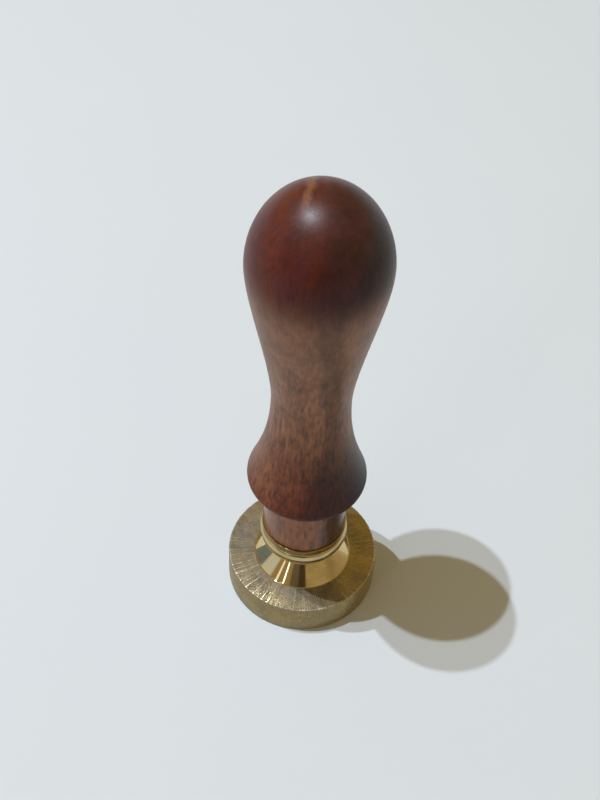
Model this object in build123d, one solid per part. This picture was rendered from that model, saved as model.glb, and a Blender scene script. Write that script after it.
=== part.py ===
from build123d import *
import os
from math import acos, asin, atan2, cos, degrees, radians, sin, sqrt, tan

os.makedirs("parts", exist_ok=True)

# A hand stamp for sealing wax: a turned rosewood handle on a turned brass head.
# Millimetres. Z is the axis of every piece and z = 0 is the engraved face, on which it stands.

# --- driving dimensions -------------------------------------------------------------------

# brass head: the die disc, and the boss that carries the thread
die_diameter = 25.0
die_thickness = 6.0
die_edge_chamfer = 0.25
boss_foot_diameter = 15.8
boss_foot_fillet = 0.3
boss_neck_diameter = 9.8
boss_cone_height = 3.5
boss_neck_height = 1.3

# machine thread between the stud and the head, ISO metric
thread_diameter = 7.0
thread_pitch = 1.0
thread_engagement = 6.8
thread_flank_gap = 0.03
thread_crest_gap = 0.10
socket_depth = 7.8
socket_tip_angle = 118.0
stud_end_chamfer = 0.5

# stud: the plain middle and the coarse thread that is driven into the wood
stud_shank_diameter = 6.0
stud_shank_length = 3.2
wood_thread_diameter = 6.4
wood_thread_root_diameter = 4.4
wood_thread_pitch = 2.5
wood_thread_length = 15.0
wood_thread_crest_width = 0.3
wood_thread_root_width = 1.1
stud_point_length = 3.0
stud_point_diameter = 0.8

# ferrule: the brass cup round the foot of the handle
ferrule_height = 4.5
ferrule_rim_diameter = 14.0
ferrule_rim_chamfer = 0.06
ferrule_bead_diameter = 14.5
ferrule_bead_below_rim = 2.3
ferrule_bead_top_radius = 1.3
ferrule_bead_foot_radius = 3.5
ferrule_groove_depth = 0.35
ferrule_floor_thickness = 1.2
ferrule_hole_gap = 0.1
ferrule_fit_gap = 0.05

# wooden handle, by the radii and heights that a turner would mark on the blank; its length
# and heights are taken from the rim of the ferrule
handle_length = 72.9
tenon_diameter = 11.8
neck_diameter = 13.5
neck_length = 10.4
neck_cove_radius = 0.6
bulb_diameter = 19.1
bulb_height_above_rim = 12.9
bulb_edge_radius = 1.1
bulb_cap_radius = 1.4
bulb_cap_turn = 20.5
bulb_sweep = 6.7
waist_diameter = 12.2
waist_height_above_rim = 31.8
waist_sweep_down = 6.5
waist_sweep_up = 7.6
knob_diameter = 20.7
knob_sweep_down = 5.6
knob_dome_height = 12.8
knob_sweep_up = 6.0
knob_crown_sweep = 6.7
pilot_spare_depth = 1.0

# engraved face: a six-petal rosette inside a plain ring
engraving_depth = 0.8
engraving_taper = 15.0
rosette_radius = 8.6
rosette_petals = 6
rosette_web = 0.3
berry_radius = 0.7
berry_circle_radius = 7.6
ring_outer_radius = 10.9
ring_width = 0.7
ring_depth = 0.5

# --- heights along the axis, worked out from the above --------------------------------------

die_top = die_thickness
cone_top = die_top + boss_cone_height
seat_height = cone_top + boss_neck_height
rim_height = seat_height + ferrule_height
floor_height = seat_height + ferrule_floor_thickness
stud_bottom = seat_height - thread_engagement
socket_bottom = seat_height - socket_depth
shank_top = seat_height + stud_shank_length
stud_top = shank_top + wood_thread_length + stud_point_length

thread_radius = thread_diameter / 2
triangle_height = thread_pitch * sqrt(3) / 2
thread_pitch_radius = thread_radius - triangle_height * 3 / 8
thread_root_radius = thread_radius - triangle_height * 17 / 24
socket_minor_radius = thread_radius - triangle_height * 5 / 8
wood_root_radius = wood_thread_root_diameter / 2


# --- helpers --------------------------------------------------------------------------------


def turned(outline):
    """Revolve a closed outline, drawn as (radius, height), about the axis."""
    face = make_face(Plane.XZ * outline)
    return revolve(face, Axis.Z)


def arc(centre, radius, start, end):
    """An arc of a circle in the outline plane, between two directions in degrees."""
    return CenterArc(centre, radius, start, end - start)


def polar(radius, angle):
    """The point at a radius and a direction in degrees, from the origin."""
    return radius * cos(radians(angle)), radius * sin(radians(angle))


def helical_ridge(profile, pitch, bottom, length):
    """Sweep an axial profile of (radius, half width) points up a right-hand helix."""
    sides = [(r, -w) for r, w in profile] + [(r, w) for r, w in reversed(profile)]
    section = Plane.XZ * Polyline(*sides, close=True)
    path = Helix(pitch=pitch, height=length, radius=profile[0][0])
    ridge = sweep(make_face(section), path=path, is_frenet=True)
    return Pos(0, 0, bottom) * ridge


def metric_ridge(root, crest, gap, bottom, length):
    """The ridge of the 60 degree thread, sunk a little into its core, wider by the gap."""
    sunk = root - thread_crest_gap
    half_widths = [
        thread_pitch / 4 - (radius - thread_pitch_radius) * tan(radians(30)) + gap
        for radius in (sunk, crest)
    ]
    profile = list(zip((sunk, crest), half_widths))
    return helical_ridge(profile, thread_pitch, bottom, length)


# --- brass head -------------------------------------------------------------------------------


def head_blank():
    """The disc and its conical boss, as one turning."""
    disc, foot = die_diameter / 2, boss_foot_diameter / 2
    neck, edge, fillet = boss_neck_diameter / 2, die_edge_chamfer, boss_foot_fillet
    slope = atan2(boss_cone_height, foot - neck)
    tangent = fillet * tan(slope / 2)
    on_disc = (foot + tangent, die_top)
    on_cone = (foot - tangent * cos(slope), die_top + tangent * sin(slope))
    outline = Polyline(
        (foot + tangent, die_top),
        (disc - edge, die_top),
        (disc, die_top - edge),
        (disc, edge),
        (disc - edge, 0),
        (0, 0),
        (0, seat_height),
        (neck, seat_height),
        (neck, cone_top),
        on_cone,
    ) + RadiusArc(on_cone, on_disc, fillet)
    return turned(outline)


def tapped_bore():
    """What the drill and the tap take out of the boss: a cone-ended bore with its thread."""
    minor, major = socket_minor_radius, thread_radius + thread_crest_gap
    tip = minor / tan(radians(socket_tip_angle / 2))
    above = seat_height + thread_pitch
    drilled = turned(
        Polyline(
            (0, socket_bottom - tip),
            (minor, socket_bottom),
            (minor, above),
            (0, above),
            close=True,
        )
    )
    start = stud_bottom - thread_pitch / 2
    return drilled + metric_ridge(minor, major, thread_flank_gap, start, seat_height - start)


def countersink():
    """The cone that eases the mouth of the threaded bore."""
    minor, mouth = socket_minor_radius, thread_radius + 2 * thread_crest_gap
    return turned(
        Polyline(
            (0, seat_height - mouth),
            (mouth, seat_height),
            (0, seat_height),
            close=True,
        )
    )


def petal():
    """One pointed petal of the rosette, where two circles of the rosette's radius cross."""
    side = rosette_radius - rosette_web
    left = Pos(*polar(rosette_radius, 60)) * Circle(side)
    right = Pos(*polar(rosette_radius, -60)) * Circle(side)
    return left & right


def engraving():
    """The sunk design of the face: petals, a berry between each two, and a ring."""
    step = 360 / rosette_petals
    cut = []
    for number in range(rosette_petals):
        turn = Rot(0, 0, number * step)
        cut.append(turn * extrude(petal(), engraving_depth, taper=engraving_taper))
        berry = Pos(*polar(berry_circle_radius, step / 2), 0) * Sphere(berry_radius)
        cut.append(turn * berry)
    inner = ring_outer_radius - ring_width
    middle = (ring_outer_radius + inner) / 2
    cut.append(
        turned(Polyline((inner, 0), (ring_outer_radius, 0), (middle, ring_depth), close=True))
    )
    return cut


def stamp_head():
    head = head_blank() - tapped_bore() - countersink()
    for piece in engraving():
        head -= piece
    return head


# --- stud ----------------------------------------------------------------------------------------


def stud_envelope():
    """The blank that the threads are cut in: chamfered below, pointed above."""
    crest, wood = thread_radius, wood_thread_diameter / 2
    return turned(
        Polyline(
            (0, stud_bottom),
            (crest - stud_end_chamfer, stud_bottom),
            (crest, stud_bottom + stud_end_chamfer),
            (crest, seat_height),
            (wood, seat_height),
            (wood, stud_top - stud_point_length),
            (stud_point_diameter / 2, stud_top),
            (0, stud_top),
            close=True,
        )
    )


def stud_core():
    """The stud without its ridges, longer below than the blank."""
    root, wood = thread_root_radius, wood_root_radius
    shank, below = stud_shank_diameter / 2, stud_bottom - thread_pitch
    runout = seat_height - thread_pitch / 4
    return turned(
        Polyline(
            (0, below),
            (root, below),
            (root, runout),
            (shank, runout),
            (shank, shank_top),
            (wood, shank_top + shank - wood),
            (wood, stud_top - stud_point_length),
            (stud_point_diameter / 2, stud_top),
            (0, stud_top),
            close=True,
        )
    )


def coarse_ridge():
    """The thread that is driven into the wood."""
    profile = [
        (wood_root_radius - thread_crest_gap, wood_thread_root_width / 2),
        (wood_thread_diameter / 2, wood_thread_crest_width / 2),
    ]
    bottom = shank_top + wood_thread_root_width
    length = wood_thread_length - 2 * wood_thread_root_width
    return helical_ridge(profile, wood_thread_pitch, bottom, length)


def threaded_stud():
    proud = thread_radius + thread_flank_gap
    start = stud_bottom - thread_pitch / 2
    machine = metric_ridge(
        thread_root_radius, proud, -thread_flank_gap, start, seat_height - thread_pitch - start
    )
    blank = (stud_core() + machine) & stud_envelope()
    return blank + coarse_ridge()


# --- ferrule ----------------------------------------------------------------------------------------


def brass_ferrule():
    rim, chamfer = ferrule_rim_diameter / 2, ferrule_rim_chamfer
    bore = tenon_diameter / 2 + ferrule_fit_gap
    hole = thread_radius + ferrule_hole_gap
    bead, widest = ferrule_bead_diameter / 2, rim_height - ferrule_bead_below_rim
    top, foot = ferrule_bead_top_radius, ferrule_bead_foot_radius
    shoulder = degrees(acos(1 - ferrule_groove_depth / top))
    under = degrees(asin((widest - seat_height) / foot))
    upper = arc((bead - top, widest), top, shoulder, 0)
    lower = arc((bead - foot, widest), foot, 0, -under)
    outline = [
        upper,
        lower,
        Polyline(
            lower @ 1,
            (hole, seat_height),
            (hole, floor_height),
            (bore, floor_height),
            (bore, rim_height),
            (rim - chamfer, rim_height),
            (rim, rim_height - chamfer),
            upper @ 0,
        ),
    ]
    return turned(Curve() + outline)


# --- handle -------------------------------------------------------------------------------------------


def wood_handle():
    neck, tenon = neck_diameter / 2, tenon_diameter / 2
    bulb = (bulb_diameter / 2, rim_height + bulb_height_above_rim)
    waist = (waist_diameter / 2, rim_height + waist_height_above_rim)
    crown = (0, rim_height + handle_length)
    knob = (knob_diameter / 2, crown[1] - knob_dome_height)
    edge, cap, cove = bulb_edge_radius, bulb_cap_radius, neck_cove_radius
    neck_top = rim_height + neck_length
    foot = floor_height + ferrule_fit_gap
    pilot, shank = wood_root_radius, stud_shank_diameter / 2
    pilot_top = stud_top - stud_point_length + pilot_spare_depth
    drill_tip = pilot_top + stud_point_length

    neck_cove = arc((neck + cove, neck_top), cove, 180, 90)
    bulb_edge = arc((bulb[0] - edge, bulb[1]), edge, -90, 0)
    bulb_cap = arc((bulb[0] - cap, bulb[1]), cap, 0, bulb_cap_turn)
    leave = polar(bulb_sweep, 90 + bulb_cap_turn)
    start = bulb_cap @ 1
    outline = [
        Polyline(
            (0, drill_tip),
            (pilot, pilot_top),
            (pilot, shank_top + shank - pilot),
            (shank, shank_top),
            (shank, foot),
            (tenon, foot),
            (tenon, rim_height),
            (neck, rim_height),
            neck_cove @ 0,
        ),
        neck_cove,
        Line(neck_cove @ 1, bulb_edge @ 0),
        bulb_edge,
        bulb_cap,
        Bezier(
            start,
            (start.X + leave[0], start.Y + leave[1]),
            (waist[0], waist[1] - waist_sweep_down),
            waist,
        ),
        Bezier(
            waist,
            (waist[0], waist[1] + waist_sweep_up),
            (knob[0], knob[1] - knob_sweep_down),
            knob,
        ),
        Bezier(
            knob,
            (knob[0], knob[1] + knob_sweep_up),
            (knob_crown_sweep, crown[1]),
            crown,
        ),
        Line(crown, (0, drill_tip)),
    ]
    return turned(Curve() + outline) - coarse_ridge()


# --- write ---------------------------------------------------------------------------------------------

pieces = {
    "stamp_head": stamp_head(),
    "threaded_stud": threaded_stud(),
    "brass_ferrule": brass_ferrule(),
    "wood_handle": wood_handle(),
}
for name, piece in pieces.items():
    export_step(piece, f"parts/{name}.step")
    box = piece.bounding_box()
    print(f"{name}: {piece.volume:.0f} mm3, z {box.min.Z:.2f} to {box.max.Z:.2f}")
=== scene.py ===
# %% [markdown]
# # A hand stamp for sealing wax
# The stamp is a turned rosewood handle on a turned brass head. The CAD model is the frame: it
# gives every size and place, and the pieces that are made here have to match it. Everything is
# in metres, with the stamp standing on its engraved face at the origin.

# %% Load the frame
from math import cos, radians, sin, tau

import bpy
from mathutils import Matrix, Vector


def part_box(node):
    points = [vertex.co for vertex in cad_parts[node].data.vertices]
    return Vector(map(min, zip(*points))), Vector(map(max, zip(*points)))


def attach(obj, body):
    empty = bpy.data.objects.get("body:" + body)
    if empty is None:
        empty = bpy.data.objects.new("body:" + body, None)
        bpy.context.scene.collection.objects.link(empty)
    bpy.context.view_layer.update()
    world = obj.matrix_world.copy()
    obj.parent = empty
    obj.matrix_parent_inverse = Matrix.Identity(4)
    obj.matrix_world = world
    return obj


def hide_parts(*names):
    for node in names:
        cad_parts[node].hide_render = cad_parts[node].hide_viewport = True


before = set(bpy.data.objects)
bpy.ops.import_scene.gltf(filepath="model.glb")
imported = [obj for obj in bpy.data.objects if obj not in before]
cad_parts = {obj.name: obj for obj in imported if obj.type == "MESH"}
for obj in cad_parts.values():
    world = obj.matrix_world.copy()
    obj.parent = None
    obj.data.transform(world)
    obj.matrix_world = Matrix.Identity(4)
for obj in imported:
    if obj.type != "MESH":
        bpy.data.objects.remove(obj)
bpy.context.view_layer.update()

mm = 0.001
for name in sorted(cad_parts):
    low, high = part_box(name)
    print(f"{name}: z {low.z / mm:.2f} to {high.z / mm:.2f} mm, radius {high.x / mm:.2f} mm")

# %% [markdown]
# ## Where the camera stands
# The stamp is seen from above and in front. Its circles show as ellipses, and how flat and how
# large each ellipse is tells the height and distance of the lens, so the camera is placed by
# numbers. A lens of 67.5 mm, on a frame whose long side is 36 mm, is a short telephoto lens.

# %% Camera
camera_place = Vector((-1.70, -141.54, 221.11)) * mm
camera_tilt = radians(38.96)
camera_roll = radians(3.0)
lens_length, frame_length = 67.5, 36
nearest_seen = 10 * mm

bpy.ops.object.select_all(action="DESELECT")
bpy.ops.object.camera_add(location=camera_place)
camera = bpy.context.object
camera.name = "camera"
turn = Matrix.Rotation(camera_tilt, 3, "X") @ Matrix.Rotation(camera_roll, 3, "Z")
camera.rotation_euler = turn.to_euler()
camera.data.lens = lens_length
camera.data.sensor_width = frame_length
camera.data.clip_start = nearest_seen
bpy.context.scene.camera = camera
bpy.context.scene.view_settings.view_transform = "Standard"
print(f"the camera is {camera_place.length / mm:.0f} mm from the foot of the stamp")

# %% [markdown]
# ## A small language for finishes
# A finish in Blender is a graph of nodes. Drawing it by clicks is easy to look at and hard to
# change, so it is written here as sums. A Wire is one output of a node: adding or multiplying
# two wires adds a Math node. Every other node comes from the one method called node, which the
# shorter methods after it use.

# %% Wires and finishes
class Wire:
    """One output of a node, which can be used in sums."""

    def __init__(self, graph, socket):
        self.graph = graph
        self.socket = socket

    def __getitem__(self, output):
        """Another output of the same node, by its name or number."""
        return Wire(self.graph, self.socket.node.outputs[output])

    def __add__(self, other):
        return self.graph.math("ADD", self, other)

    def __radd__(self, other):
        return self.graph.math("ADD", other, self)

    def __sub__(self, other):
        return self.graph.math("SUBTRACT", self, other)

    def __rsub__(self, other):
        return self.graph.math("SUBTRACT", other, self)

    def __mul__(self, other):
        return self.graph.math("MULTIPLY", self, other)

    def __rmul__(self, other):
        return self.graph.math("MULTIPLY", other, self)

    def __pow__(self, other):
        return self.graph.math("POWER", self, other)


class Finish:
    """A node graph, of a material or of the world."""

    def __init__(self, owner):
        owner.use_nodes = True
        self.owner = owner
        self.tree = owner.node_tree
        self.tree.nodes.clear()

    def node(self, kind, settings=None, inputs=None):
        """Add a node: its settings first, then the value or the wire of each input."""
        made = self.tree.nodes.new(kind)
        for key, value in (settings or {}).items():
            if key == "stops":
                self.set_stops(made.color_ramp, value)
            else:
                setattr(made, key, value)
        for key, value in (inputs or {}).items():
            if isinstance(value, Wire):
                self.tree.links.new(value.socket, made.inputs[key])
            else:
                made.inputs[key].default_value = value
        return Wire(self, made.outputs[0]) if made.outputs else None

    def set_stops(self, ramp, stops):
        """Set the colours of a ramp from (position, colour) pairs."""
        for _ in stops[2:]:
            ramp.elements.new(0.5)
        for element, (position, colour) in zip(ramp.elements, stops):
            element.position = position
            element.color = (*colour, 1)

    def math(self, operation, first, second):
        """A sum of two wires or numbers."""
        return self.node("ShaderNodeMath", {"operation": operation}, {0: first, 1: second})

    def between(self, value, low, high):
        """Nothing below low, all above high, and a smooth rise between them."""
        settings = {"interpolation_type": "SMOOTHSTEP"}
        inputs = {"Value": value, "From Min": low, "From Max": high}
        return self.node("ShaderNodeMapRange", settings, inputs)

    def blend(self, share, first, second):
        """Two colours, mixed by a share of the second one."""
        inputs = {0: share, 6: first, 7: second}
        return self.node("ShaderNodeMix", {"data_type": "RGBA"}, inputs)[2]

    def ramp(self, stops, share):
        """A colour from a row of colours, by a share of the way along it."""
        return self.node("ShaderNodeValToRGB", {"stops": stops}, {"Fac": share})

    def shaded(self, tone, light, vivid=1.0):
        """A colour made lighter or darker, and more or less vivid."""
        inputs = {"Color": tone, "Saturation": vivid, "Value": light}
        return self.node("ShaderNodeHueSaturation", None, inputs)

    def noise(self, place, stretch, detail=2.0, offset=(0, 0, 0)):
        """Noise with so many changes per millimetre along x, y and z."""
        move = {"Vector": place, "Scale": stretch, "Location": offset}
        moved = self.node("ShaderNodeMapping", None, move)
        inputs = {"Vector": moved, "Scale": 1, "Detail": detail}
        return self.node("ShaderNodeTexNoise", None, inputs)

    def rings(self, along, scale, detail):
        """Noise that changes only along one wire, such as the distance from the axis."""
        inputs = {"W": along, "Scale": scale, "Detail": detail}
        return self.node("ShaderNodeTexNoise", {"noise_dimensions": "1D"}, inputs)

    def relief(self, height, strength, depth):
        """Ridges and dents that are only seen in the light, with their depth in metres."""
        inputs = {"Strength": strength, "Distance": depth, "Height": height}
        return self.node("ShaderNodeBump", None, inputs)

    def millimetres(self):
        """The place on the piece, in millimetres."""
        place = self.node("ShaderNodeTexCoord")["Object"]
        inputs = {"Vector": place, "Scale": (1000, 1000, 1000)}
        return self.node("ShaderNodeMapping", None, inputs)

    def coordinates(self, place):
        """The x, y and z of a place."""
        apart = self.node("ShaderNodeSeparateXYZ", None, {"Vector": place})
        return apart["X"], apart["Y"], apart["Z"]

    def surface(self, inputs):
        """Finish the graph with a Principled shader."""
        shader = self.node("ShaderNodeBsdfPrincipled", None, inputs)
        self.node("ShaderNodeOutputMaterial", None, {"Surface": shader})
        return self.owner


def colour(red, green, blue):
    """An opaque colour, in linear shares of red, green and blue."""
    return (red, green, blue, 1)


print("the finishes are written with two classes: Wire and Finish")

# %% [markdown]
# ## The light
# Two small lamps hang close together over the left of the stamp, so its shadow on the paper is
# two overlapping rounds. How large the rounds are tells how near the lamps are: not quite 0.8 m
# from the knob. The rest of the room is dim and warm, which is why the core of the shadow is
# olive. A polished metal shows the room around it, and a cone shows it as stripes from
# top to foot. So the room gets the things that make such stripes: a dark doorway in front with a
# lighter side, a wall on the right that catches some light, a pale wall and a low blue chest on
# the left, and between them two slits of bright window.

# %% Lamps
knob_middle = Vector((0, 0, 75.4)) * mm
# degrees above the horizon, degrees round from the right, and millimetres from the knob
lamp_places = {"lamp_left": (72.2, 175.5, 780), "lamp_behind": (71.1, 163.0, 790)}
lamp_power = 11.6
lamp_radius = 5 * mm
lamp_colour = (0.81, 0.90, 1.0)

for name, (height, round_about, distance) in lamp_places.items():
    across = cos(radians(height))
    towards = Vector((
        across * cos(radians(round_about)),
        across * sin(radians(round_about)),
        sin(radians(height)),
    ))
    bpy.ops.object.light_add(type="POINT", location=knob_middle + towards * distance * mm)
    lamp = bpy.context.object
    lamp.name = name
    lamp.data.energy = lamp_power
    lamp.data.shadow_soft_size = lamp_radius
    lamp.data.color = lamp_colour
    print(f"{name}: {height} degrees high, {distance} mm from the knob")

# %% The room
room = Finish(bpy.data.worlds.new("room"))
room_strength = 0.94
bpy.context.scene.world = room.owner
east, north, up = room.coordinates(room.node("ShaderNodeTexCoord")["Generated"])
west, south = -1 * east, -1 * north
room_stops = [
    (0.0, (0.55, 0.52, 0.45)),
    (0.06, (0.42, 0.355, 0.25)),
    (0.25, (0.34, 0.27, 0.145)),
    (1.0, (0.315, 0.24, 0.11)),
]
shade = room.ramp(room_stops, up)
print("the room is dim and warm, and paler near the horizon")

# %% What a polished cone sees in the room
def part_of_room(*edges):
    """A part of the room, inside soft edges of (direction, outside, inside)."""
    inside = room.between(*edges[0])
    for edge in edges[1:]:
        inside = inside * room.between(*edge)
    return inside


doorway = part_of_room(
    (south, 0.55, 0.80), (west, 0.37, 0.29), (east, 0.19, 0.15), (up, 0.12, 0.30)
)
lighter_side = room.between(west, 0.02, 0.12)
dark = room.blend(lighter_side, colour(0.065, 0.045, 0.03), colour(0.135, 0.115, 0.095))
shade = room.blend(doorway, shade, dark)
lit_wall = part_of_room((south, 0.30, 0.55), (east, 0.17, 0.22), (up, 0.05, 0.2))
shade = room.blend(lit_wall, shade, colour(0.41, 0.33, 0.19))
pale_wall = part_of_room((west, 0.80, 0.86), (north, 0.10, 0.0), (up, 0.08, 0.14), (up, 0.55, 0.48))
shade = room.blend(pale_wall, shade, colour(0.61, 0.66, 0.76))
blue_chest = part_of_room(
    (west, 0.78, 0.84), (north, -0.06, -0.01), (north, 0.48, 0.42), (up, 0.27, 0.21)
)
shade = room.blend(blue_chest, shade, colour(0.18, 0.24, 0.30))

soft = 0.006
for start, width, glow in ((0.500, 0.019, 8.5), (0.665, 0.05, 1.35)):
    end = start + width
    slit = part_of_room(
        (west, start - soft, start + soft),
        (west, end + soft, end - soft),
        (south, 0.4, 0.5),
        (up, 0.24, 0.32),
        (up, 0.72, 0.64),
    )
    shade = room.blend(slit, shade, colour(*(glow * part for part in lamp_colour)))
background = room.node("ShaderNodeBackground", None, {"Color": shade, "Strength": room_strength})
room.node("ShaderNodeOutputWorld", None, {"Surface": background})
print("it has a doorway, a lit wall, a pale wall, a blue chest and two slits of a window")

# %% [markdown]
# ## The paper
# The stamp stands on smooth pale paper. A big plane is enough. The paper is nearly even, with a
# faint cloudiness and a very fine tooth that keeps it from looking like plastic. The near lamps
# leave it dim far away, where only low views look. There it gets a pale glow for the camera and
# for reflections, which lights nothing.

# %% Paper
paper_width = 40
dim_from, dim_to = 200, 850
far_glow = colour(0.37, 0.42, 0.50)

bpy.ops.mesh.primitive_plane_add(size=paper_width)
paper = bpy.context.object
paper.name = "paper"
sheet = Finish(bpy.data.materials.new("smooth paper"))
sheet.owner.cycles.emission_sampling = "NONE"
place = sheet.millimetres()
clouds = sheet.noise(place, (0.03, 0.03, 0.03), 3)
tooth = sheet.noise(place, (2.5, 2.5, 2.5), 4)
x, y, _ = sheet.coordinates(place)
far = sheet.between((x ** 2 + y ** 2) ** 0.5, dim_from, dim_to)
ray = sheet.node("ShaderNodeLightPath")
seen = sheet.math("MAXIMUM", ray["Is Camera Ray"], ray["Is Glossy Ray"])
seen = sheet.math("MAXIMUM", seen, ray["Is Transmission Ray"])
paper.data.materials.append(sheet.surface({
    "Base Color": sheet.blend(clouds, colour(0.735, 0.775, 0.82), colour(0.755, 0.79, 0.83)),
    "Emission Color": sheet.blend(far * seen, colour(0, 0, 0), far_glow),
    "Emission Strength": 1,
    "Roughness": 0.8,
    "Specular IOR Level": 0.25,
    "Normal": sheet.relief(tooth, 0.3, 0.02 * mm),
}))
print(f"the paper is laid, {paper_width} m wide")

# %% [markdown]
# ## Rosewood under varnish
# Rosewood is cut from a trunk, so its colours lie in layers: bands of red, orange and purple
# brown that run along the handle and cross its crown. The layers are rings round a pith that
# lies outside the blank, a little bent and blurred. Their colours also darken overall from the
# left of the handle to its right: that is painted shade, on the side away from the lamps.
# Through them run pores: short dark dashes along the grain, which show as dots on the crown. One
# function of the place in the blank gives all of it, so the figure goes right through the wood,
# as it does in the real one. Hands have dulled the varnish, but not on the neck under the bulb,
# which they don't reach. Numbers for z are heights on the stamp, those for x and y are distances
# from its axis, all in millimetres.

# %% Colours of the layers
# from the left of the handle, 0, to its right, 1, darker overall towards the right: painted shade
# on the side away from the lamps
layer_and_shade_stops = [
    (0.0, (0.110, 0.019, 0.004)),
    (0.12, (0.088, 0.011, 0.003)),
    (0.26, (0.112, 0.016, 0.004)),
    (0.38, (0.074, 0.007, 0.003)),
    (0.47, (0.088, 0.013, 0.004)),
    (0.52, (0.064, 0.008, 0.003)),
    (0.62, (0.044, 0.009, 0.005)),
    (0.74, (0.046, 0.011, 0.006)),
    (0.86, (0.024, 0.007, 0.003)),
    (1.0, (0.036, 0.010, 0.005)),
]
first_layer, layers_width = 35, 23
pith_x, pith_y = -46.0, 3.0
print(f"{len(layer_and_shade_stops)} colours of wood, in rings round a pith at {pith_x}, {pith_y} mm")

# %% Rosewood
def rosewood(name, roughness, bending):
    """Rosewood, with how rough its varnish is and how strongly that bends light."""
    wood = Finish(bpy.data.materials.new(name))
    place = wood.millimetres()
    x, y, z = wood.coordinates(place)

    # the layers, a little bent by two slow noises
    drift = wood.noise(place, (0.08, 0.08, 0.03), 2)
    waver = wood.noise(place, (0.5, 0.5, 0.06), 2)
    reach = ((x - pith_x) ** 2 + (y - pith_y) ** 2) ** 0.5
    layer = reach + 5 * (drift - 0.5) + 1.8 * (waver - 0.5)
    tone = wood.ramp(layer_and_shade_stops, (layer - first_layer) * (1 / layers_width))

    # plum clouds in the knob
    clouds = wood.noise(place, (0.35, 0.35, 0.25), 2, (7, 5, 1))
    plum = wood.between(clouds, 0.47, 0.62) * wood.between(z, 66, 74)
    tone = wood.blend(plum * 0.45, tone, colour(0.058, 0.013, 0.014))

    # the waist, painted paler and more orange, less so on one dense band of layers: partly worn,
    # paler wood, partly a painted sheen of the varnish
    worn = wood.between(z, 79, 70) * wood.between(z, 31, 48)
    dense = wood.between(layer, 47.6, 48.8) * wood.between(layer, 52.0, 50.4)
    tone = wood.blend(worn * (0.72 - 0.32 * dense), tone, colour(0.305, 0.138, 0.062))

    # painted light: the left of the bulb and of the neck, the sides towards the lamps and the
    # bright brass, are painted warmer and lighter
    warm = wood.between(z, 42, 32) * wood.between(x, 3, -9) * wood.between(z, 25, 35)
    tone = wood.blend(warm * 0.66, tone, colour(0.31, 0.120, 0.048))
    neck = wood.between(z, 26, 25) * wood.between(x, 5, 1)
    tone = wood.blend(neck * 0.7, tone, colour(0.32, 0.105, 0.018))

    # one pale vein over the crown
    vein = wood.between(layer, 42.7, 43.6) * wood.between(layer, 44.7, 43.9)
    shown = wood.between(y, -3.5, -0.5) * wood.between(z, 72, 79)
    tone = wood.blend(vein * shown * 0.5, tone, colour(0.30, 0.12, 0.050))

    # fibres and pores, stronger from the waist down, where the grain is open
    fibres = wood.noise(place, (2.2, 2.2, 0.2), 3, (3, 8, 1))
    mottle = wood.noise(place, (1.9, 1.9, 0.5), 4, (2, 5, 5))
    patches = wood.noise(place, (0.8, 0.8, 0.6), 3, (6, 2, 9))
    dashes = wood.noise(place, (4.5, 4.5, 1.0), 3, (5, 1, 7))
    crowd = wood.noise(place, (0.3, 0.3, 0.12), 2, (1, 4, 2))
    open_grain = wood.between(z, 70, 45)
    pores = wood.between(dashes + 0.3 * (crowd - 0.5), 0.54, 0.74)
    fine = 0.6 * fibres + 0.7 * mottle - 0.65
    grain = 0.25 + 0.8 * clouds + 0.7 * patches + fine * (1 + 1.6 * open_grain)
    light = grain - pores * (0.15 + 0.20 * open_grain) + 0.02

    handled = wood.noise(place, (0.35, 0.35, 0.2), 3, (9, 2, 5))
    return wood.surface({
        "Base Color": wood.shaded(tone, light),
        "Roughness": roughness + 0.10 * (handled - 0.5),
        "IOR": bending,
        "Coat Weight": 0.5 * wood.between(z, 81, 86.5),
        "Coat Roughness": 0.48,
        "Normal": wood.relief(fibres * 0.2 + mottle * 0.3 - pores * 0.5, 0.4, 0.06 * mm),
    })


handled_rosewood = rosewood("rosewood with worn varnish", roughness=0.37, bending=1.30)
glossy_rosewood = rosewood("rosewood with glossy varnish", roughness=0.15, bending=1.40)
print("rosewood is ready, worn and glossy")
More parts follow.
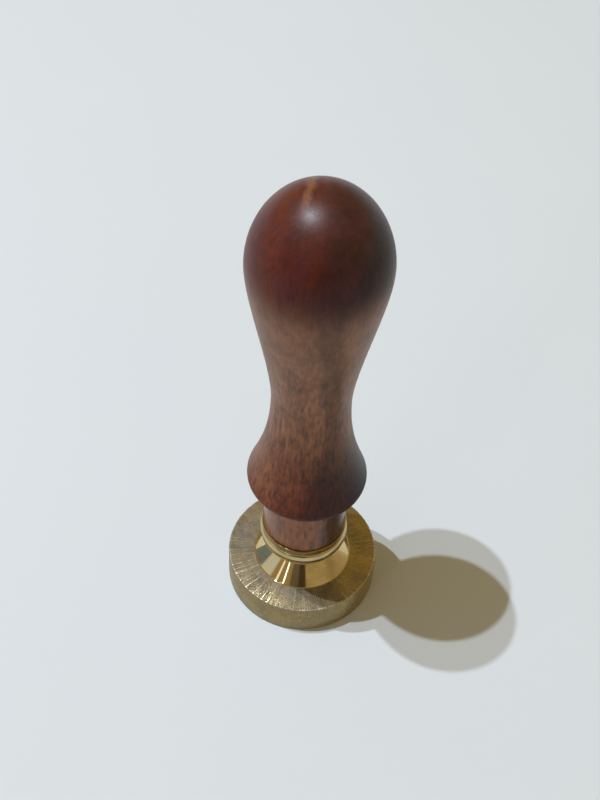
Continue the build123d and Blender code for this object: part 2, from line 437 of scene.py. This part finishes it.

# %% [markdown]
# ## Brass, polished and tarnished
# A cutting tool leaves fine rings on turned brass. Each ring throws a lamp's light along the
# radius, so a lamp shows as a narrow streak towards the axis and not as a spot. Here the rings
# are in the relief: a noise that changes only with the radius. The disc has been handled. Its
# tarnish is a thin dull brown skin, which isn't a metal any more, with clean metal between its
# specks, so one mask sets both the colour and the metallic share. Scratches run outwards over
# it, and the lip is painted paler and less vivid, a painted highlight along the edge. The cone
# stays nearly like a mirror, and the ferrule, which the fingers touch, is a little duller.

# %% Tarnished brass
def brass_with_skin():
    """Brass with a broken skin of tarnish, for the disc and its rim."""
    metal = Finish(bpy.data.materials.new("tarnished brass"))
    place = metal.millimetres()
    x, y, z = metal.coordinates(place)
    radius = (x ** 2 + y ** 2) ** 0.5
    patches = metal.noise(place, (0.3, 0.3, 0.3), 4, (4, 1, 3))
    specks = metal.noise(place, (6.5, 6.5, 6.5), 3, (2, 7, 1))
    spots = metal.noise(place, (1.6, 1.6, 1.6), 4, (8, 3, 1))
    shades = metal.noise(place, (0.9, 0.9, 0.9), 4, (6, 2, 2))

    # where on the disc: its upright side, its lip, and the front left, where the skin is older
    side = metal.between(radius, 12.40, 12.46)
    lip = metal.between(radius, 12.20, 12.28) - side
    older = metal.between(-1 * x - y, -5, 7)

    # scratches run outwards, so they change only with the direction from the axis
    flat = metal.node("ShaderNodeCombineXYZ", None, {"X": x, "Y": y})
    outward = metal.node("ShaderNodeVectorMath", {"operation": "NORMALIZE"}, {0: flat})
    rays = metal.noise(outward, (38, 38, 38), 2)
    scratched = metal.between(rays, 0.56, 0.64) * metal.between(spots, 0.38, 0.52) * (1 - side)

    # the skin, thinner on the side and in the scratches
    film = specks + 0.3 * (patches - 0.5) + 0.2 * (spots - 0.5) + 0.13 * older - 0.04
    mask = metal.between(film, 0.36, 0.60)
    skin = mask * (1 - 0.38 * side) * (1 - 0.7 * scratched)
    share = metal.between(shades, 0.3, 0.7)
    dull = metal.blend(share, colour(0.122, 0.102, 0.075), colour(0.198, 0.17, 0.134))
    clean = metal.blend(spots, colour(0.52, 0.365, 0.10), colour(0.70, 0.51, 0.18))
    tone = metal.blend(skin, clean, dull)
    # the lip is painted paler and less vivid: a painted highlight along the edge
    light = 1 - 0.17 * side + 0.45 * lip
    vivid = 1 - 0.35 * lip - 0.25 * scratched

    height = metal.rings(radius + z, 6.0, 3.0) + 0.02 * spots + 0.05 * rays
    return metal.surface({
        "Base Color": metal.shaded(tone, light, vivid),
        "Metallic": 1 - skin,
        "Roughness": 0.09 + 0.62 * skin + 0.15 * lip,
        "Normal": metal.relief(height, 1.0, 0.0135 * mm),
    })


tarnished_brass = brass_with_skin()
print("tarnished brass is ready")

# %% Polished brass
def brass_like_a_mirror():
    """Polished brass, for the cone, and a little duller for the ferrule above it."""
    metal = Finish(bpy.data.materials.new("polished brass"))
    place = metal.millimetres()
    x, y, z = metal.coordinates(place)
    radius = (x ** 2 + y ** 2) ** 0.5
    breath = metal.noise(place, (0.35, 0.35, 0.35), 4, (4, 1, 3))
    specks = metal.noise(place, (2.6, 2.6, 2.6), 3, (2, 7, 1))
    cloudy = metal.between(breath + 0.3 * (specks - 0.5), 0.45, 0.7)
    handled = metal.between(z, 10.2, 10.8)
    tone = metal.blend(cloudy, colour(0.80, 0.63, 0.33), colour(0.66, 0.52, 0.27))
    height = metal.rings(radius + z, 5.0, 2.0) + 0.1 * specks
    return metal.surface({
        "Base Color": metal.shaded(tone, 1 - 0.22 * handled),
        "Metallic": 1.0,
        "Roughness": 0.05 + 0.08 * cloudy + 0.07 * handled,
        "Normal": metal.relief(height, 1.0, 0.003 * mm),
    })


polished_brass = brass_like_a_mirror()
print("polished brass is ready")

# %% [markdown]
# ## The stud
# The stud joins the head and the handle and shows only while the handle is unscrewed. Its CAD
# solid already has both threads, so it stays and only gets its finish: plain steel, with the
# faint rings of the die that cut it.

# %% Stud
steel = Finish(bpy.data.materials.new("plain steel"))
place = steel.millimetres()
wear = steel.noise(place, (1.2, 1.2, 1.2), 4)
fine = steel.noise(place, (6, 6, 6), 3)
plain_steel = steel.surface({
    "Base Color": steel.blend(wear, colour(0.40, 0.39, 0.38), colour(0.58, 0.58, 0.57)),
    "Metallic": 1.0,
    "Roughness": 0.26 + 0.18 * wear,
    "Normal": steel.relief(fine, 0.3, 0.002 * mm),
})
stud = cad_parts["threaded_stud"]
stud.data.materials.clear()
stud.data.materials.append(plain_steel)
print("the stud is steel")

# %% [markdown]
# ## A lathe in edit mode
# Every other piece is turned, and so the same way of making serves them all. One vertex is
# extruded from point to point along half of the outline, and the chain is spun round the axis.
# Where the chain meets the axis, and where the spin meets its own start, the doubled vertices
# are merged, and then the faces are turned outwards. The chain of vertices will also draw the
# petal of the engraved face.

# %% Outline helpers
def curve_points(points, count):
    """Points along a cubic Bezier curve, without its first."""
    a, b, c, d = (Vector(p) for p in points)
    made = []
    for step in range(1, count + 1):
        t = step / count
        s = 1 - t
        made.append(s ** 3 * a + 3 * s * s * t * b + 3 * s * t * t * c + t ** 3 * d)
    return made


def arc_points(centre, radius, start, end, count):
    """Points along an arc, from one direction in degrees to another."""
    made = []
    for step in range(count + 1):
        angle = radians(start + (end - start) * step / count)
        made.append(Vector((centre[0] + radius * cos(angle), centre[1] + radius * sin(angle))))
    return made


print("outlines are drawn with arcs and curves")

# %% A chain of vertices
def draw_chain(name, points):
    """Make a piece of one chain through (x, y, z) points, in millimetres, still in edit mode."""
    bpy.ops.object.select_all(action="DESELECT")
    bpy.ops.mesh.primitive_plane_add(size=mm, location=(0, 0, 0))
    piece = bpy.context.object
    piece.name = name
    bpy.ops.object.mode_set(mode="EDIT")
    bpy.ops.mesh.select_mode(type="VERT")
    bpy.ops.mesh.select_all(action="SELECT")
    bpy.ops.mesh.merge(type="CENTER")
    here = Vector((0, 0, 0))
    for number, point in enumerate(points):
        there = Vector(point) * mm
        if number == 0:
            bpy.ops.transform.translate(value=there - here)
        else:
            move = {"value": there - here}
            bpy.ops.mesh.extrude_region_move(TRANSFORM_OT_translate=move)
        here = there
    bpy.ops.mesh.select_all(action="SELECT")
    return piece


print("a chain is drawn by extruding one vertex")

# %% The lathe
same_place = 0.0002 * mm


def turn_on_lathe(name, outline, steps, crease):
    """Spin an outline of (radius, height) points, in millimetres, into a piece."""
    piece = draw_chain(name, [(radius, 0, height) for radius, height in outline])
    bpy.ops.mesh.spin(steps=steps, angle=tau, center=(0, 0, 0), axis=(0, 0, 1))
    bpy.ops.mesh.select_all(action="SELECT")
    bpy.ops.mesh.remove_doubles(threshold=same_place)
    bpy.ops.mesh.normals_make_consistent(inside=False)
    bpy.ops.object.mode_set(mode="OBJECT")
    bpy.ops.object.shade_smooth_by_angle(angle=radians(crease))
    print(f"{name}: {len(piece.data.polygons)} faces")
    return piece


print("the lathe is ready")

# %% [markdown]
# ## Two finishes on one piece
# The handle is one piece of wood, yet its neck is glossier than the rest, and the head is one
# piece of brass with a bright cone on a dull disc. A second material slot gives them that: the
# faces whose middle lies in the chosen part are assigned to it.

# %% Two finishes on one piece
def give_second_finish(piece, finish, chosen):
    """Give a finish to those faces whose middle, in millimetres, is chosen."""
    piece.data.materials.append(finish)
    bpy.ops.object.mode_set(mode="EDIT")
    bpy.ops.mesh.select_mode(type="FACE")
    bpy.ops.mesh.select_all(action="DESELECT")
    bpy.ops.object.mode_set(mode="OBJECT")
    for face in piece.data.polygons:
        face.select = chosen(face.center / mm)
    bpy.ops.object.mode_set(mode="EDIT")
    piece.active_material_index = 1
    bpy.ops.object.material_slot_assign()
    bpy.ops.object.mode_set(mode="OBJECT")
    print(f"{piece.name} has {finish.name} on a part of it")


print("a piece can have two finishes")

# %% [markdown]
# ## The handle
# Seen from below: a tenon that sits in the ferrule, a straight neck, a bulb, a narrow waist and
# a round knob. The curves are the ones that the CAD solid has, so the piece fits over it. A hole
# for the stud goes up the middle.

# %% Handle
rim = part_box("brass_ferrule")[1].z / mm
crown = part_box("wood_handle")[1].z / mm
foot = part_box("wood_handle")[0].z / mm
tenon, neck, neck_top = 5.9, 6.75, rim + 10.4
bulb = (9.55, rim + 12.9)
waist = (6.1, rim + 31.8)
knob = (10.35, crown - 12.8)
cove_radius, edge_radius, cap_radius, cap_turn = 0.6, 1.1, 1.4, 20.5
shank, shank_top, pilot, pilot_top, drill_tip = 3.0, 14.0, 2.2, 30.0, 3.0
# how strongly each curve is pulled along where it starts and where it ends
cap_pull, waist_low_pull, waist_high_pull = 6.7, 6.5, 7.6
knob_low_pull, knob_high_pull, crown_pull = 5.6, 6.0, 6.7

neck_cove = arc_points((neck + cove_radius, neck_top), cove_radius, 180, 90, 8)
bulb_edge = arc_points((bulb[0] - edge_radius, bulb[1]), edge_radius, -90, 0, 14)
bulb_cap = arc_points((bulb[0] - cap_radius, bulb[1]), cap_radius, 0, cap_turn, 5)[1:]
leave = Vector((cos(radians(90 + cap_turn)), sin(radians(90 + cap_turn)))) * cap_pull
cap_end = bulb_cap[-1]
waist_low = (waist[0], waist[1] - waist_low_pull)
waist_high = (waist[0], waist[1] + waist_high_pull)
knob_low = (knob[0], knob[1] - knob_low_pull)
knob_high = (knob[0], knob[1] + knob_high_pull)
bulb_to_waist = [cap_end, cap_end + leave, waist_low, waist]
waist_to_knob = [waist, waist_high, knob_low, knob]
knob_to_crown = [knob, knob_high, (crown_pull, crown), (0, crown)]
handle_outline = [
    (0, pilot_top + drill_tip),
    (pilot, pilot_top),
    (pilot, shank_top + shank - pilot),
    (shank, shank_top),
    (shank, foot),
    (tenon, foot),
    (tenon, rim),
    (neck, rim),
    (neck, rim + 3.5),
    (neck, rim + 7),
    *neck_cove,
    *bulb_edge,
    *bulb_cap,
    *curve_points(bulb_to_waist, 34),
    *curve_points(waist_to_knob, 40),
    *curve_points(knob_to_crown, 44),
]
handle = turn_on_lathe("turned_handle", handle_outline, steps=192, crease=40)
handle.data.materials.append(handled_rosewood)
give_second_finish(handle, glossy_rosewood, lambda middle: middle.z < neck_top)
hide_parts("wood_handle")
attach(handle, "handle")

# %% [markdown]
# ## The ferrule
# A brass cup that keeps the foot of the handle from splitting. Its wall narrows a little under
# the rim, to a groove, and below that it swells into a round bead that turns in to the seat.

# %% Ferrule
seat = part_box("brass_ferrule")[0].z / mm
floor_top = seat + 1.2
bore, stud_hole = tenon + 0.05, 3.6
rim_radius, rim_chamfer = 7.0, 0.06
bead_radius, bead_height = 7.25, rim - 2.3
upper_round, groove_turn = 1.3, 43.05
lower_round, seat_turn = 3.5, 38.94
upper_centre = (bead_radius - upper_round, bead_height)
lower_centre = (bead_radius - lower_round, bead_height)
bead_top = arc_points(upper_centre, upper_round, groove_turn, 0, 22)
bead_foot = arc_points(lower_centre, lower_round, 0, -seat_turn, 22)
ferrule_outline = [
    (bore, rim),
    (rim_radius - rim_chamfer, rim),
    (rim_radius, rim - rim_chamfer),
    *bead_top,
    *bead_foot[1:],
    (stud_hole, seat),
    (stud_hole, floor_top),
    (bore, floor_top),
    (bore, rim),
]
ferrule = turn_on_lathe("turned_ferrule", ferrule_outline, steps=192, crease=30)
ferrule.data.materials.append(polished_brass)
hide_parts("brass_ferrule")
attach(ferrule, "ferrule")

# %% [markdown]
# ## The head
# One turning again: the disc that carries the die, a cone that rises from it, and a short neck
# under the ferrule. The threaded bore goes down the middle. The ring round the design is turned
# with the rest, as it is on a real die. The photo doesn't show the face that it stands on, so
# the design there is a plain rosette.

# %% Head
die_top = 6.0
disc, edge = 12.5, 0.25
cone_foot, cone_neck, cone_top = 8.0, 4.9, 9.5
thread_minor, thread_mouth, bore_bottom, bore_tip = 2.96, 3.7, seat - 7.8, 1.22
ring_outer, ring_inner, ring_deep = 10.9, 10.2, 0.5
lip_in, lip_down = 0.09, 0.07
cone_fillet = ((-0.1, 0.116), (-0.03, 0.05), (0.05, 0.012), (0.13, 0))
head_crease = 30
head_outline = [
    (0, bore_tip),
    (thread_minor, bore_bottom),
    (thread_minor, seat - thread_mouth + thread_minor),
    (thread_mouth, seat),
    (cone_neck, seat),
    (cone_neck, cone_top),
    *[(cone_foot + outward, die_top + upward) for outward, upward in cone_fillet],
    (disc - edge, die_top),
    (disc - lip_in, die_top - lip_down),
    (disc, die_top - edge),
    (disc, edge),
    (disc - edge, 0),
    (ring_outer, 0),
    ((ring_outer + ring_inner) / 2, ring_deep),
    (ring_inner, 0),
    (0, 0),
]
head = turn_on_lathe("turned_head", head_outline, steps=256, crease=head_crease)

# %% [markdown]
# ## The engraved face
# A die is cut with a tapered mill, so each petal of the rosette has sloping walls. One petal is
# drawn, pulled up into the brass and narrowed. A small ball makes the berry beside it. The pair
# is copied round the axis, and the six pairs are taken out of the head in one Boolean.

# %% One petal and its berry
petal_middle, petal_arc, arc_drop, arc_from, arc_to = 4.3, 8.3, 7.448, 116.19, 63.81
below = -0.2
# how far it is pulled up each time, and its new shares of length and width
petal_rises = ((0.2, 1, 1), (0.8, 0.868, 0.749))
berry_ring, berry_turn, berry_radius = 7.6, 30, 0.7

outer_arc = arc_points((petal_middle, -arc_drop), petal_arc, arc_from, arc_to, 20)
inner_arc = arc_points((petal_middle, arc_drop), petal_arc, -arc_to, -arc_from, 20)[1:-1]
petal = draw_chain("petal", [(along, across, below) for along, across in outer_arc + inner_arc])
bpy.ops.mesh.edge_face_add()
middle = Vector((petal_middle, 0, 0)) * mm
for rise, length, width in petal_rises:
    bpy.ops.mesh.extrude_region_move(TRANSFORM_OT_translate={"value": (0, 0, rise * mm)})
    bpy.ops.transform.resize(value=(length, width, 1), center_override=middle)
bpy.ops.mesh.select_all(action="SELECT")
bpy.ops.mesh.normals_make_consistent(inside=False)
bpy.ops.object.mode_set(mode="OBJECT")

turned = radians(berry_turn)
bpy.ops.mesh.primitive_uv_sphere_add(
    segments=24,
    ring_count=12,
    radius=berry_radius * mm,
    location=Vector((berry_ring * cos(turned), berry_ring * sin(turned), 0)) * mm,
)
bpy.ops.object.transform_apply(location=True)
petal.select_set(True)
bpy.context.view_layer.objects.active = petal
bpy.ops.object.join()
print(f"one petal and its berry: {len(petal.data.polygons)} faces")

# %% Six of them, cut out of the head
petal_count = 6
cutters = [petal]
for number in range(1, petal_count):
    bpy.ops.object.select_all(action="DESELECT")
    petal.select_set(True)
    bpy.context.view_layer.objects.active = petal
    bpy.ops.object.duplicate()
    copy = bpy.context.object
    copy.data.transform(Matrix.Rotation(tau / petal_count * number, 4, "Z"))
    cutters.append(copy)
bpy.ops.object.select_all(action="DESELECT")
for cutter in cutters:
    cutter.select_set(True)
bpy.context.view_layer.objects.active = petal
bpy.ops.object.join()
bpy.ops.object.select_all(action="DESELECT")
head.select_set(True)
bpy.context.view_layer.objects.active = head
cut = head.modifiers.new("rosette", "BOOLEAN")
cut.operation = "DIFFERENCE"
cut.solver = "EXACT"
cut.object = petal
bpy.ops.object.modifier_apply(modifier=cut.name)
bpy.data.objects.remove(petal)
bpy.ops.object.shade_smooth_by_angle(angle=radians(head_crease))
print(f"the head with its rosette: {len(head.data.polygons)} faces")

# %% The finish of the head
just_above = 0.005
head.data.materials.append(tarnished_brass)
give_second_finish(head, polished_brass, lambda middle: middle.z > die_top + just_above)
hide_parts("stamp_head")
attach(head, "head")
